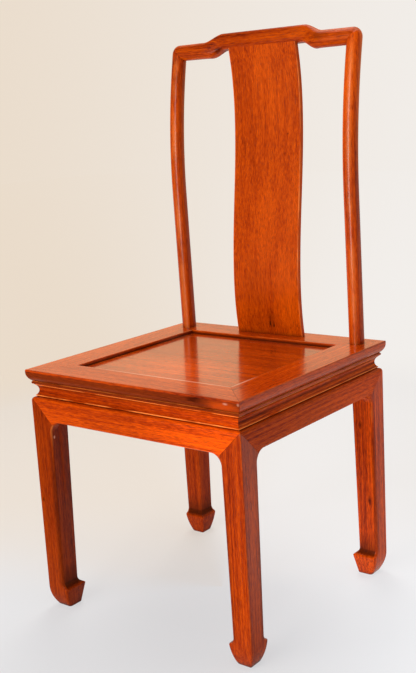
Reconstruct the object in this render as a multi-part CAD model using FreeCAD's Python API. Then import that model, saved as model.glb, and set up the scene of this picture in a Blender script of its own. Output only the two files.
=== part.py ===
import FreeCAD, Part
import math
import os

# A side chair in solid hardwood, in millimetres. Origin: on the floor, under the middle of the seat.
# +Z is up and the front faces -Y. Left (-X) and right (+X) are as seen from the front.

V = FreeCAD.Vector
UP = V(0, 0, 1)
ORIGIN = V(0, 0, 0)

# Seat
seat_width = 480.0
seat_depth = 466.0
seat_height = 460.0

# Seat frame: four mitred members with a moulded outer edge
frame_width = 67.0
frame_thickness = 28.0
frame_arris = 1.0
frame_band = 5.0
ovolo_inset = 8.4
quirk = 0.3
bead_inset = 6.8
bead_radius = 2.9
bead_base = 0.5

# Seat panel, held by a tongue in the frame's groove
panel_recess = 7.0
panel_thickness = 10.0
panel_tongue_thickness = 4.0
panel_tongue_length = 7.0
panel_expansion_gap = 1.0
panel_edge_gap = 0.4

# Battens under the panel
batten_offset = 85.0
batten_width = 20.0
batten_key_root = 12.0
batten_key_top = 15.0
batten_key_height = 3.0
batten_tenon_width = 12.0
batten_tenon_length = 10.0
batten_tenon_margin = 2.0

# Waist: a hollow moulding between the frame and the aprons
waist_height = 23.0
waist_inset = 12.0
waist_cove_depth = 4.0
waist_fillet = 1.0
waist_lip = 2.0
waist_lip_step = 0.5
waist_tongue_thickness = 5.0
waist_tongue_height = 5.0
waist_tongue_setback = 1.0

# Aprons and legs share one outer face, set in from the frame's edge
face_inset = 5.0
apron_height = 43.5
apron_thickness = 18.0
shoulder_radius = 7.5
arch_radius = 20.0
edge_round = 5.0
apron_tenon_rise = 7.0
apron_tenon_height = 12.0
apron_tenon_setback = 6.0
apron_tenon_thickness = 6.0
apron_tenon_clear = 2.0

# Legs
leg_width = 43.0
leg_ankle_width = 38.5
leg_arris = 1.2
leg_tenon = 9.0
leg_tenon_height = 10.0
leg_tenon_margin = 1.0

# Hoof feet
hoof_height = 40.0
hoof_flare = 12.0
hoof_reach = 9.3
hoof_base = 40.5
hoof_tuck = 12.5

# Back posts: straight, then swept back, then straight into the crest rail
post_diameter = 28.5
post_inset_side = 39.0
post_inset_back = 40.2
post_lean = -1.12
post_straight = 280.0
post_sweep_radius = 1150.0
post_sweep_angle = 12.4
post_tenon_diameter = 16.0
post_tenon_length = 14.0
post_head_tenon_diameter = 10.0
post_head_tenon_length = 8.0

# Crest rail: its axis meets the posts' axes at this height above the seat
crest_rise = 554.3
crest_height = 31.0
crest_depth = 24.0
crest_step = 14.3
crest_setback = 5.7
crest_end_round = 13.5
crest_middle_round = 7.0
crest_top_ramp_start = 93.0
crest_top_ramp_end = 136.0
crest_bottom_ramp_start = 88.0
crest_bottom_ramp_end = 121.0
crest_corner_radius = 17.0

# Back splat: its centreline's height above the seat and inset from the seat's back edge
splat_width = 153.8
splat_thickness = 10.0
splat_arris = 1.2
splat_foot_inset = 30.4
splat_lumbar_height = 85.0
splat_lumbar_inset = 37.6
splat_shoulder_height = 410.0
splat_shoulder_inset = 8.2
splat_head_inset = 17.0
splat_head_entry = 5.0
splat_tenon_thickness = 6.0
splat_tenon_shoulder = 12.0
splat_foot_tenon_length = 12.0
splat_head_tenon_length = 8.0

# Corner joints of the seat frame
corner_tenon_inset = 50.0
corner_tenon_width = 9.0
corner_tenon_thickness = 7.0
corner_tenon_drop = 3.5
corner_tenon_cover = 20.0

# Clearance on every hidden face of a tenon or tongue
joint_gap = 0.2
# How far a cutting solid reaches past the face that it cuts
overshoot = 1.0

half_width = seat_width / 2
half_depth = seat_depth / 2
frame_bottom = seat_height - frame_thickness
waist_bottom = frame_bottom - waist_height
apron_bottom = waist_bottom - apron_height
arch_spring = apron_bottom - arch_radius
core_inset = face_inset + apron_thickness
panel_top = seat_height - panel_recess
panel_bottom = panel_top - panel_thickness
groove_depth = panel_tongue_length + panel_expansion_gap
ankle_height = hoof_height + hoof_flare
post_x = half_width - post_inset_side
post_y = half_depth - post_inset_back


def sides():
    """Each side of the seat: turn about Z from the front, half its length, and its distance from the centre."""
    return {
        "front": (0, half_width, half_depth),
        "right": (90, half_depth, half_width),
        "back": (180, half_width, half_depth),
        "left": (270, half_depth, half_width),
    }


def corners():
    """Each leg's turn about Z from the front right one, and the signs of X and Y at its corner."""
    return {
        "front_right": (0, 1, -1),
        "rear_right": (90, 1, 1),
        "rear_left": (180, -1, 1),
        "front_left": (270, -1, -1),
    }


def outline(place, start, *steps):
    """A closed wire from start, by lines to a point or by arcs through a middle point to an end point."""
    edges = []
    here = start
    for step in steps:
        if isinstance(step[0], tuple):
            middle, end = step
            edges.append(Part.Arc(place(*here), place(*middle), place(*end)).toShape())
        else:
            end = step
            edges.append(Part.makeLine(place(*here), place(*end)))
        here = end
    if here != start:
        edges.append(Part.makeLine(place(*here), place(*start)))
    return Part.Wire(edges)


def prism(wire, direction):
    """The solid that a closed flat wire sweeps along a straight line."""
    return Part.Face(wire).extrude(direction)


def block(low, high):
    """A box between two opposite corners."""
    size = [b - a for a, b in zip(low, high)]
    return Part.makeBox(*size, V(*low))


def arc_middle(center, radius, start, end):
    """The point half way along an arc between two angles in degrees."""
    angle = math.radians((start + end) / 2)
    return (center[0] + radius * math.cos(angle), center[1] + radius * math.sin(angle))


def tangent_radius(run, rise):
    """Radius of the arc that leaves a line as its tangent and is off by run after rise along it."""
    return (run ** 2 + rise ** 2) / (2 * run)


def tangent_offset(radius, rise):
    """How far such an arc is from its tangent line after rise along it."""
    return radius - math.sqrt(radius ** 2 - rise ** 2)


def turned(shape, angle):
    """A copy turned about the vertical axis."""
    copy = shape.copy()
    copy.rotate(ORIGIN, UP, angle)
    return copy


def mitred(half_run, reach, depth, low, high):
    """The space of one mitred side: its outer face lies at -Y, and its ends close in at 45 degrees."""
    inner = half_run - depth
    wire = outline(
        lambda x, y: V(x, y, low),
        (-half_run, -reach),
        (half_run, -reach),
        (inner, depth - reach),
        (-inner, depth - reach),
    )
    return prism(wire, V(0, 0, high - low))


def side_moulding(half_run, reach, depth, *points):
    """A moulded member along the front: its section is drawn as inset from the outer edge and height."""
    wire = outline(lambda inset, z: V(-half_run, inset - reach, z), *points)
    bar = prism(wire, V(2 * half_run, 0, 0))
    return bar.common(mitred(half_run, reach, depth, 0, seat_height))


def corner_tenon(half_run, reach, gap):
    """The tenon at the right end of a frame member, and with a gap the mortise that takes it."""
    top = seat_height - corner_tenon_drop
    low = (
        half_run - frame_width,
        corner_tenon_inset - reach - gap,
        top - corner_tenon_thickness - gap,
    )
    high = (
        half_run - corner_tenon_cover + gap,
        corner_tenon_inset + corner_tenon_width - reach + gap,
        top + gap,
    )
    return block(low, high)


def all_corner_tenons(gap):
    """The four tenons of the front and back members."""
    tenons = []
    for side in ("front", "back"):
        angle, half_run, reach = sides()[side]
        right = corner_tenon(half_run, reach, gap)
        left = right.mirror(ORIGIN, V(1, 0, 0))
        tenons += [turned(right, angle), turned(left, angle)]
    return tenons


def frame_member(side):
    """One moulded member of the seat frame, with the panel's groove and the waist's groove."""
    angle, half_run, reach = sides()[side]
    top = seat_height
    bead_middle = frame_bottom + bead_base + bead_radius
    bead_root = bead_inset + bead_radius
    quirk_height = bead_middle + bead_radius
    ovolo_bottom = quirk_height + quirk
    ovolo_top = top - frame_band
    ovolo_radius = tangent_radius(ovolo_inset, ovolo_top - ovolo_bottom)
    ovolo_half = (ovolo_top - ovolo_bottom) / 2
    arris = arc_middle((frame_arris, top - frame_arris), frame_arris, 90, 180)
    groove_front = frame_width - groove_depth
    tongue_top = panel_bottom + panel_tongue_thickness + joint_gap
    waist_groove_back = core_inset - waist_tongue_setback + joint_gap
    waist_groove_front = waist_groove_back - waist_tongue_thickness - 2 * joint_gap
    waist_groove_top = frame_bottom + waist_tongue_height + joint_gap
    inner_arris = arc_middle((frame_width - frame_arris, top - frame_arris), frame_arris, 0, 90)
    member = side_moulding(
        half_run, reach, frame_width,
        (frame_width, top - frame_arris),
        (inner_arris, (frame_width - frame_arris, top)),
        (frame_arris, top),
        (arris, (0, top - frame_arris)),
        (0, ovolo_top),
        ((tangent_offset(ovolo_radius, ovolo_half), ovolo_top - ovolo_half), (ovolo_inset, ovolo_bottom)),
        (bead_root, quirk_height),
        ((bead_inset, bead_middle), (bead_root, bead_middle - bead_radius)),
        (bead_root, frame_bottom),
        (waist_groove_front, frame_bottom),
        (waist_groove_front, waist_groove_top),
        (waist_groove_back, waist_groove_top),
        (waist_groove_back, frame_bottom),
        (frame_width, frame_bottom),
        (frame_width, panel_bottom),
        (groove_front, panel_bottom),
        (groove_front, tongue_top),
        (frame_width, tongue_top),
    )
    member = turned(member, angle)
    if side in ("front", "back"):
        member = member.multiFuse([t for t in all_corner_tenons(0) if t.common(member).Volume > 0])
        member = member.cut(batten_tenons(joint_gap))
    else:
        member = member.cut(all_corner_tenons(joint_gap))
    member = member.cut(all_leg_tenons(joint_gap))
    if side != "front":
        member = member.cut([post_foot_tenon(sign, joint_gap) for sign in (-1, 1)])
    if side == "back":
        member = member.cut(splat_foot_tenon(joint_gap))
    return member


def batten_x():
    """Where the battens lie, left and right of the middle."""
    return (-batten_offset, batten_offset)


def batten_tenons(gap):
    """The tenons at both ends of both battens."""
    half_length = half_depth - frame_width + batten_tenon_length + gap
    half_tenon = batten_tenon_width / 2 + gap
    low = frame_bottom + batten_tenon_margin - gap
    high = panel_bottom - batten_tenon_margin + gap
    return [block((x - half_tenon, -half_length, low), (x + half_tenon, half_length, high)) for x in batten_x()]


def batten_key(x, gap):
    """The dovetail on a batten's top, as long as the panel is deep, and with a gap its slot in the panel."""
    half_length = half_depth - frame_width
    half_root = batten_key_root / 2 + gap
    half_top = batten_key_top / 2 + gap
    wire = outline(
        lambda dx, z: V(x + dx, -half_length, z),
        (-half_root, panel_bottom),
        (half_root, panel_bottom),
        (half_top, panel_bottom + batten_key_height + gap),
        (-half_top, panel_bottom + batten_key_height + gap),
    )
    return prism(wire, V(0, 2 * half_length, 0))


def seat_batten(x):
    """A batten across the panel's underside, keyed into it and tenoned into the frame."""
    half_length = half_depth - frame_width
    body = block(
        (x - batten_width / 2, -half_length, frame_bottom),
        (x + batten_width / 2, half_length, panel_bottom),
    )
    tenon = [t for t in batten_tenons(0) if t.common(body).Volume > 0]
    return body.multiFuse([batten_key(x, 0)] + tenon)


def seat_panel():
    """The panel: a field inside the frame, a tongue all round it, and two dovetail slots below."""
    field_x = half_width - frame_width - panel_edge_gap
    field_y = half_depth - frame_width - panel_edge_gap
    tongue_x = half_width - frame_width + panel_tongue_length
    tongue_y = half_depth - frame_width + panel_tongue_length
    field = block((-field_x, -field_y, panel_bottom), (field_x, field_y, panel_top))
    tongue_top = panel_bottom + panel_tongue_thickness
    tongue = block((-tongue_x, -tongue_y, panel_bottom), (tongue_x, tongue_y, tongue_top))
    return field.fuse(tongue).cut([batten_key(x, joint_gap) for x in batten_x()])


def waist_strip(side):
    """One hollow-moulded strip under the frame, with a tongue up into it."""
    angle, half_run, reach = sides()[side]
    tongue_back = core_inset - waist_tongue_setback
    tongue_front = tongue_back - waist_tongue_thickness
    tongue_top = frame_bottom + waist_tongue_height
    lip_inset = face_inset + shoulder_radius
    lip_top = waist_bottom + waist_lip
    cove_top = frame_bottom - waist_fillet
    strip = side_moulding(
        half_run, reach, core_inset,
        (waist_inset, frame_bottom),
        (waist_inset, cove_top),
        ((waist_inset + waist_cove_depth, (cove_top + lip_top) / 2), (lip_inset + waist_lip_step, lip_top)),
        (lip_inset, lip_top),
        (lip_inset, waist_bottom),
        (core_inset, waist_bottom),
        (core_inset, frame_bottom),
        (tongue_back, frame_bottom),
        (tongue_back, tongue_top),
        (tongue_front, tongue_top),
        (tongue_front, frame_bottom),
    )
    return turned(strip, angle)


def shoulder_cutter(length):
    """What is cut off the upper outer edge of an apron, along +X from the origin, with the face at Y = 0."""
    center = (shoulder_radius, waist_bottom - shoulder_radius)
    wire = outline(
        lambda y, z: V(0, y, z),
        (-overshoot, center[1]),
        (0, center[1]),
        (arc_middle(center, shoulder_radius, 90, 180), (shoulder_radius, waist_bottom)),
        (shoulder_radius, waist_bottom + overshoot),
        (-overshoot, waist_bottom + overshoot),
    )
    return prism(wire, V(length, 0, 0))


def edge_section(place):
    """The corner that is rounded off a leg's or apron's inner edge: along the face, and into its thickness."""
    center = (-edge_round, edge_round)
    return Part.Face(outline(
        place,
        (-edge_round, 0),
        (arc_middle(center, edge_round, -90, 0), (0, edge_round)),
        (overshoot, edge_round),
        (overshoot, -overshoot),
        (-edge_round, -overshoot),
    ))


def arch_cutter(x):
    """The rounded edge along the arch from a leg, whose inner face is at x, to an apron at +X or -X of it."""
    sign = -1 if x > 0 else 1
    section = edge_section(lambda along, y: V(x + sign * along, y, arch_spring))
    center = V(x + sign * arch_radius, 0, arch_spring)
    return section.revolve(center, V(0, 1, 0), sign * 90)


def arch_outline(half_face):
    """An inverted U in the plane Y = 0: the face of an apron with the heads of its two legs."""
    inner = half_face - leg_width
    flat = inner - arch_radius
    right = arc_middle((flat, arch_spring), arch_radius, 0, 90)
    return outline(
        lambda x, z: V(x, 0, z),
        (-half_face, arch_spring),
        (-inner, arch_spring),
        ((-right[0], right[1]), (-flat, apron_bottom)),
        (flat, apron_bottom),
        (right, (inner, arch_spring)),
        (half_face, arch_spring),
        (half_face, waist_bottom),
        (-half_face, waist_bottom),
    )


def skirt(half_face):
    """An apron and its leg heads in one, before the mitres part them; the face is at Y = 0."""
    inner = half_face - leg_width
    flat = inner - arch_radius
    slab = prism(arch_outline(half_face), V(0, apron_thickness, 0))
    shoulder = shoulder_cutter(2 * half_face)
    shoulder.translate(V(-half_face, 0, 0))
    straight = edge_section(lambda along, y: V(-flat, y, apron_bottom - along))
    straight = straight.extrude(V(2 * flat, 0, 0))
    return slab.cut([shoulder, straight, arch_cutter(-inner), arch_cutter(inner)])


def apron_space(half_face):
    """The space that an apron takes of its skirt: above the leg mitres, and mitred to the next aprons."""
    reach = leg_width + arch_radius
    drop = reach * apron_height / leg_width
    wire = outline(
        lambda x, z: V(x, 0, z),
        (-half_face, waist_bottom),
        (half_face, waist_bottom),
        (half_face - reach, waist_bottom - drop),
        (reach - half_face, waist_bottom - drop),
    )
    space = prism(wire, V(0, apron_thickness, 0))
    return space.common(mitred(half_face, 0, apron_thickness, 0, seat_height))


def apron_tenon(half_face, gap):
    """The tenon at an apron's right end, and with a gap its mortise; the face is at Y = 0."""
    low_z = apron_bottom + apron_tenon_rise
    front = apron_tenon_setback
    back = front + apron_tenon_thickness
    end = half_face - back - apron_tenon_clear
    return block(
        (half_face - leg_width - gap, front - gap, low_z - gap),
        (end + gap, back + gap, low_z + apron_tenon_height + gap),
    )


def apron(side):
    """One apron, placed on its side of the seat."""
    angle, half_run, reach = sides()[side]
    half_face = half_run - face_inset
    board = skirt(half_face).common(apron_space(half_face))
    tenon = apron_tenon(half_face, 0)
    board = board.multiFuse([tenon, tenon.mirror(ORIGIN, V(1, 0, 0))])
    board.translate(V(0, face_inset - reach, 0))
    return turned(board, angle)


def leg_ring(z, outer, inner):
    """A leg's section at a height: a square between two distances from the faces, with rounded corners.
    It is drawn for the front right leg, with the outer corner of its faces at the origin."""
    corners = [
        (outer, outer, 1, 1, leg_arris),
        (inner, outer, -1, 1, edge_round),
        (inner, inner, -1, -1, leg_arris),
        (outer, inner, 1, -1, edge_round),
    ]
    points = []
    for index, (u, v, du, dv, radius) in enumerate(corners):
        along_u = (u + du * radius, v)
        along_v = (u, v + dv * radius)
        cut = radius * (1 - math.sqrt(0.5))
        middle = (u + du * cut, v + dv * cut)
        first, last = (along_v, along_u) if index % 2 == 0 else (along_u, along_v)
        points.append(first)
        points.append((middle, last))
    return outline(lambda u, v: V(-u, v, z), *points)


def hoof_outer(z):
    """How far the hoof's outer faces have tucked in at a height."""
    return tangent_offset(tangent_radius(hoof_tuck, hoof_height), max(hoof_height - z, 0))


def hoof_inner(z):
    """Distance of the inner faces from the leg's outer faces, at a height up to the ankle."""
    if z <= hoof_height:
        return hoof_base + (leg_ankle_width + hoof_reach - hoof_base) * z / hoof_height
    return leg_ankle_width + tangent_offset(tangent_radius(hoof_reach, hoof_flare), ankle_height - z)


def hoof_loft(low, high, steps):
    """A stretch of the foot between two heights, smooth through evenly spaced sections."""
    heights = [low + (high - low) * i / steps for i in range(steps + 1)]
    return Part.makeLoft([leg_ring(z, hoof_outer(z), hoof_inner(z)) for z in heights], True, False)


def leg_tenons(gap):
    """A leg's two tenons, one into each frame member over it, in the leg's own place."""
    low = apron_thickness + leg_tenon_margin
    high = leg_width - leg_tenon_margin
    first = block(
        (-high - gap, low - gap, frame_bottom),
        (leg_tenon - high + gap, low + leg_tenon + gap, frame_bottom + leg_tenon_height + gap),
    )
    return [first, first.mirror(ORIGIN, V(1, 1, 0))]


def to_corner(shape, corner):
    """Puts a piece made for the front right leg at a corner of the seat."""
    angle, x_sign, y_sign = corners()[corner]
    placed = turned(shape, angle)
    placed.translate(V(x_sign * (half_width - face_inset), y_sign * (half_depth - face_inset), 0))
    return placed


def all_leg_tenons(gap):
    """The tenons of the four legs."""
    return [to_corner(tenon, corner) for corner in corners() for tenon in leg_tenons(gap)]


def leg_head():
    """A leg above the arch's spring: what the apron mitres leave of the skirts, and the core behind them."""
    half_face = 2 * (leg_width + arch_radius)
    to_outer_corner = V(-half_face, 0, 0)
    reach = leg_width + arch_radius
    face = skirt(half_face).common(block(
        (half_face - reach, 0, arch_spring),
        (half_face, apron_thickness, waist_bottom),
    ))
    space = apron_space(half_face)
    mortise = apron_tenon(half_face, joint_gap)
    for shape in (face, space, mortise):
        shape.translate(to_outer_corner)
    core = outline(
        lambda u, v: V(-u, v, arch_spring),
        (apron_thickness, apron_thickness),
        (leg_width, apron_thickness),
        (leg_width, leg_width - leg_arris),
        (
            arc_middle((leg_width - leg_arris, leg_width - leg_arris), leg_arris, 0, 90),
            (leg_width - leg_arris, leg_width),
        ),
        (apron_thickness, leg_width),
    )
    core = prism(core, V(0, 0, frame_bottom - arch_spring))
    arris = outline(
        lambda u, v: V(-u, v, arch_spring),
        (leg_arris, 0),
        (arc_middle((leg_arris, leg_arris), leg_arris, 180, 270), (0, leg_arris)),
        (-overshoot, leg_arris),
        (-overshoot, -overshoot),
        (leg_arris, -overshoot),
    )
    arris = prism(arris, V(0, 0, apron_height + arch_radius))
    shoulder = shoulder_cutter(reach)
    shoulder.translate(V(-reach, 0, 0))
    across = V(1, 1, 0)
    head = core.multiFuse([face, face.mirror(ORIGIN, across)] + leg_tenons(0))
    cuts = [space, mortise, shoulder]
    return head.cut(cuts + [cut.mirror(ORIGIN, across) for cut in cuts] + [arris])


def leg(corner):
    """One leg: hoof, ankle, tapered shaft, and the head that takes the aprons and the seat frame."""
    foot = hoof_loft(0, hoof_height, 5)
    ankle = hoof_loft(hoof_height, ankle_height, 4)
    shaft_ends = [
        leg_ring(ankle_height, 0, leg_ankle_width),
        leg_ring(arch_spring, 0, leg_width),
    ]
    shaft = Part.makeLoft(shaft_ends, True, True)
    return to_corner(leg_head().multiFuse([foot, ankle, shaft]), corner)


def direction(angle):
    """A unit vector in the plane of a post, leaning back from the vertical by an angle in degrees."""
    return V(0, math.sin(math.radians(angle)), math.cos(math.radians(angle)))


def post_axis():
    """Points of a post's axis at X = 0: foot, start and middle and end of the sweep, and the crest rail's axis."""
    foot = V(0, post_y, seat_height)
    lean = direction(post_lean)
    bend = foot + lean * (post_straight / lean.z)
    center = bend + V(0, lean.z, -lean.y) * post_sweep_radius
    points = [foot, bend]
    for share in (0.5, 1):
        out = direction(post_lean + post_sweep_angle * share)
        points.append(center - V(0, out.z, -out.y) * post_sweep_radius)
    head = direction(post_lean + post_sweep_angle)
    rest = seat_height + crest_rise - points[-1].z
    points.append(points[-1] + head * (rest / head.z))
    return points


def crest_place(x, back, up):
    """A point given along the crest rail, to its back and up, in the tilted frame of the posts' heads."""
    head = direction(post_lean + post_sweep_angle)
    axis = post_axis()[-1]
    return axis + V(x, head.z * back + head.y * up, head.z * up - head.y * back)


def ramp(x, start, end):
    """1 in the middle of the crest rail and 0 towards its ends, with a smooth fall from start to end."""
    t = min(max((abs(x) - start) / (end - start), 0), 1)
    return 1 - t * t * (3 - 2 * t)


def crest_section(x):
    """The crest rail's rounded section across a place along it."""
    middle = ramp(x, crest_top_ramp_start, crest_top_ramp_end)
    lifted = ramp(x, crest_bottom_ramp_start, crest_bottom_ramp_end)
    top = crest_height / 2 + crest_step * middle
    bottom = crest_step * lifted - crest_height / 2
    back = crest_setback * middle
    half = (post_diameter + (crest_depth - post_diameter) * middle) / 2
    radius = crest_end_round + (crest_middle_round - crest_end_round) * middle
    cut = radius * (1 - math.sqrt(0.5))
    front, rear = back - half, back + half
    return outline(
        lambda b, u: crest_place(x, b, u),
        (front + radius, top),
        (rear - radius, top),
        ((rear - cut, top - cut), (rear, top - radius)),
        (rear, bottom + radius),
        ((rear - cut, bottom + cut), (rear - radius, bottom)),
        (front + radius, bottom),
        ((front + cut, bottom + cut), (front, bottom + radius)),
        (front, top - radius),
        ((front + cut, top - cut), (front + radius, top)),
    )


def corner_prism(*points):
    """A solid through the crest rail's depth, drawn as distance along it and height above its axis."""
    wire = outline(lambda x, up: crest_place(x, -post_diameter, up), *points)
    return prism(wire, crest_place(0, post_diameter, 0) - crest_place(0, -post_diameter, 0))


def mitre_side(sign):
    """The space outside (1) or inside (-1) the right mitre between the crest rail and its post."""
    across = 2 * post_diameter
    rise = 2 * crest_height
    return corner_prism(
        (post_x - across, -rise),
        (post_x + across, rise),
        (post_x + sign * across, -sign * rise),
    )


def outer_corner():
    """What is rounded off the outer corner where the crest rail meets the right post."""
    edge = post_x + post_diameter / 2
    top = crest_height / 2
    center = (edge - crest_corner_radius, top - crest_corner_radius)
    return corner_prism(
        (center[0], top),
        (arc_middle(center, crest_corner_radius, 0, 90), (edge, center[1])),
        (edge + crest_corner_radius, center[1]),
        (edge + crest_corner_radius, top + crest_corner_radius),
        (center[0], top + crest_corner_radius),
    )


def post_head_tenon(gap):
    """The round tenon on the right post's head, from the mitre up into the crest rail."""
    axis = post_axis()[-1] + V(post_x, 0, 0)
    head = direction(post_lean + post_sweep_angle)
    start = axis - head * (crest_height / 2)
    length = crest_height / 2 + post_head_tenon_length + gap
    return Part.makeCylinder(post_head_tenon_diameter / 2 + gap, length, start, head)


def both_hands(shape):
    """A piece for the right side, and its mirror image for the left."""
    return [shape, shape.mirror(ORIGIN, V(1, 0, 0))]


def crest_blank():
    """The crest rail before its mortises: a straight middle, two ramps and two straight ends."""
    near = min(crest_top_ramp_start, crest_bottom_ramp_start)
    far = max(crest_top_ramp_end, crest_bottom_ramp_end)
    steps = 8
    stations = [near + (far - near) * i / steps for i in range(steps + 1)]
    middle = prism(crest_section(-near), V(2 * near, 0, 0))
    slope = Part.makeLoft([crest_section(x) for x in stations], True, False)
    end = prism(crest_section(far), V(post_x + post_diameter - far, 0, 0))
    rail = middle.multiFuse(both_hands(slope) + both_hands(end))
    return rail.cut(both_hands(mitre_side(1)) + both_hands(outer_corner()))


def crest_rail():
    """The crest rail, with mortises for the posts and the splat."""
    return crest_blank().cut(both_hands(post_head_tenon(joint_gap)) + [splat_head_tenon(joint_gap)])


def post_foot_tenon(sign, gap):
    """The round tenon under a post's foot."""
    length = post_tenon_length + gap
    base = V(sign * post_x, post_y, seat_height - length)
    return Part.makeCylinder(post_tenon_diameter / 2 + gap, length, base)


def back_post(sign):
    """A post: a round bar along its axis, cut level at the seat and mitred at the crest rail."""
    foot, bend, middle, sweep_end, crown = [point + V(post_x, 0, 0) for point in post_axis()]
    below = foot - (bend - foot).normalize() * post_diameter
    above = crown + (crown - sweep_end).normalize() * post_diameter
    path = Part.Wire([
        Part.makeLine(below, bend),
        Part.Arc(bend, middle, sweep_end).toShape(),
        Part.makeLine(sweep_end, above),
    ])
    ring = Part.Wire(Part.makeCircle(post_diameter / 2, below, bend - below))
    bar = path.makePipeShell([ring], True, False)
    under_seat_top = block((0, 0, 0), (seat_width, seat_depth, seat_height))
    bar = bar.cut([under_seat_top, mitre_side(-1), outer_corner()])
    bar = bar.multiFuse([post_foot_tenon(1, 0), post_head_tenon(0)])
    return bar if sign > 0 else bar.mirror(ORIGIN, V(1, 0, 0))


def splat_curve(offset):
    """The splat's centreline in the plane of symmetry, moved forwards or backwards."""
    under_crest = crest_place(0, crest_setback, crest_step - crest_height / 2)
    head_height = under_crest.z - seat_height
    points = [
        (0, splat_foot_inset),
        (splat_lumbar_height, splat_lumbar_inset),
        (splat_shoulder_height, splat_shoulder_inset),
        (head_height, splat_head_inset),
    ]
    curve = Part.BSplineCurve()
    curve.interpolate([V(0, half_depth - inset + offset, seat_height + height) for height, inset in points])
    return curve.toShape()


def splat_foot_tenon(gap):
    """The tenon under the splat, into the back member of the frame."""
    y = half_depth - splat_foot_inset
    half = splat_tenon_thickness / 2 + gap
    reach = splat_width / 2 - splat_tenon_shoulder + gap
    low = seat_height - splat_foot_tenon_length - gap
    return block((-reach, y - half, low), (reach, y + half, seat_height))


def splat_head():
    """Where the splat's centreline meets the crest rail's underside, in the plane of symmetry."""
    return splat_curve(0).Vertexes[-1].Point


def splat_head_tenon(gap):
    """The tenon on the splat's head, up into the crest rail."""
    head = splat_head()
    half = splat_tenon_thickness / 2 + gap
    reach = splat_width / 2 - splat_tenon_shoulder + gap
    high = head.z + splat_head_entry + splat_head_tenon_length + gap
    return block((-reach, head.y - half, head.z - splat_head_entry), (reach, head.y + half, high))


def back_splat():
    """The splat: an S-curved board, scribed to the crest rail, with a tenon at each end."""
    half = splat_thickness / 2
    front, back = splat_curve(-half), splat_curve(half)
    rise = V(0, 0, splat_head_entry)
    front_head, back_head = front.Vertexes[-1].Point, back.Vertexes[-1].Point
    side = Part.Wire([
        front,
        Part.makeLine(front_head, front_head + rise),
        Part.makeLine(front_head + rise, back_head + rise),
        Part.makeLine(back_head + rise, back_head),
        back,
        Part.makeLine(back.Vertexes[0].Point, front.Vertexes[0].Point),
    ])
    board = prism(side, V(splat_width, 0, 0))
    board.translate(V(-splat_width / 2, 0, 0))
    board = board.makeFillet(splat_arris, splat_long_edges(board))
    board = board.cut(crest_blank())
    return board.multiFuse([splat_foot_tenon(0), splat_head_tenon(0)])


def splat_long_edges(board):
    """The four curved edges that run up the splat."""
    return [edge for edge in board.Edges if edge.Length > crest_rise / 2]


def write(node, shape):
    """Saves one piece as a single solid."""
    solid = shape.removeSplitter().Solids[0]
    solid.exportStep(os.path.join("parts", node + ".step"))


os.makedirs("parts", exist_ok=True)
for side in sides():
    write("seat_frame_" + side, frame_member(side))
    write("waist_" + side, waist_strip(side))
    write("apron_" + side, apron(side))
for corner in corners():
    write("leg_" + corner, leg(corner))
write("seat_panel", seat_panel())
write("crest_rail", crest_rail())
write("back_splat", back_splat())
for name, sign in (("left", -1), ("right", 1)):
    write("back_post_" + name, back_post(sign))
    write("seat_batten_" + name, seat_batten(sign * batten_offset))
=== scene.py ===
import math

import bmesh
import bpy
from mathutils import Matrix, Vector


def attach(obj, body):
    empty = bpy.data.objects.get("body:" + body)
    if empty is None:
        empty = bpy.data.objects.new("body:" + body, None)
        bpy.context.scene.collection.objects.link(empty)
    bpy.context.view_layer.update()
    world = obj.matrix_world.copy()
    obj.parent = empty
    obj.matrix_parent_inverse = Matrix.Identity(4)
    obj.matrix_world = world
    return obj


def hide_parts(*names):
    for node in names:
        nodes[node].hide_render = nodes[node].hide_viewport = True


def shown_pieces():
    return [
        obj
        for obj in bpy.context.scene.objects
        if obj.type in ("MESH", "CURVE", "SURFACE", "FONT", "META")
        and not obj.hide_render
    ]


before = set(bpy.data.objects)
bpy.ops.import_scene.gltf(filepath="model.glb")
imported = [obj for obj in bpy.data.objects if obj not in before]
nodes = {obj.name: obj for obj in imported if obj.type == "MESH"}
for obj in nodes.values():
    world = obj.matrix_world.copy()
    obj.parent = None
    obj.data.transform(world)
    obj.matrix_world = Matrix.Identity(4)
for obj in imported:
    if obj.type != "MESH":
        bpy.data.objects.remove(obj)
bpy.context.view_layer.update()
scene = bpy.context.scene
scene.view_settings.view_transform = "Standard"

# Lengths of the chair are in millimetres here, and are turned into metres where a mesh is made.
MM = 0.001

SEAT_HEIGHT = 460.0
HALF_WIDTH, HALF_DEPTH = 240.0, 233.0
FRAME_WIDTH, FRAME_BOTTOM = 67.0, 432.0
WAIST_BOTTOM, APRON_BOTTOM = 409.0, 365.5
FACE_INSET, APRON_THICKNESS = 5.0, 18.0
LEG_WIDTH, ANKLE_WIDTH, LEG_ARRIS = 43.0, 38.5, 1.4
ARCH_RADIUS, EDGE_ROUND, SHOULDER_RADIUS = 20.0, 5.0, 7.5
ARCH_SPRING = APRON_BOTTOM - ARCH_RADIUS
HOOF_HEIGHT, HOOF_FLARE, HOOF_REACH, HOOF_BASE, HOOF_TUCK = 40.0, 12.0, 10.2, 40.5, 12.5
SOLE_ROUND, RIDGE_BELOW, RIDGE_ABOVE = 2.0, 2.2, 1.6
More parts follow.
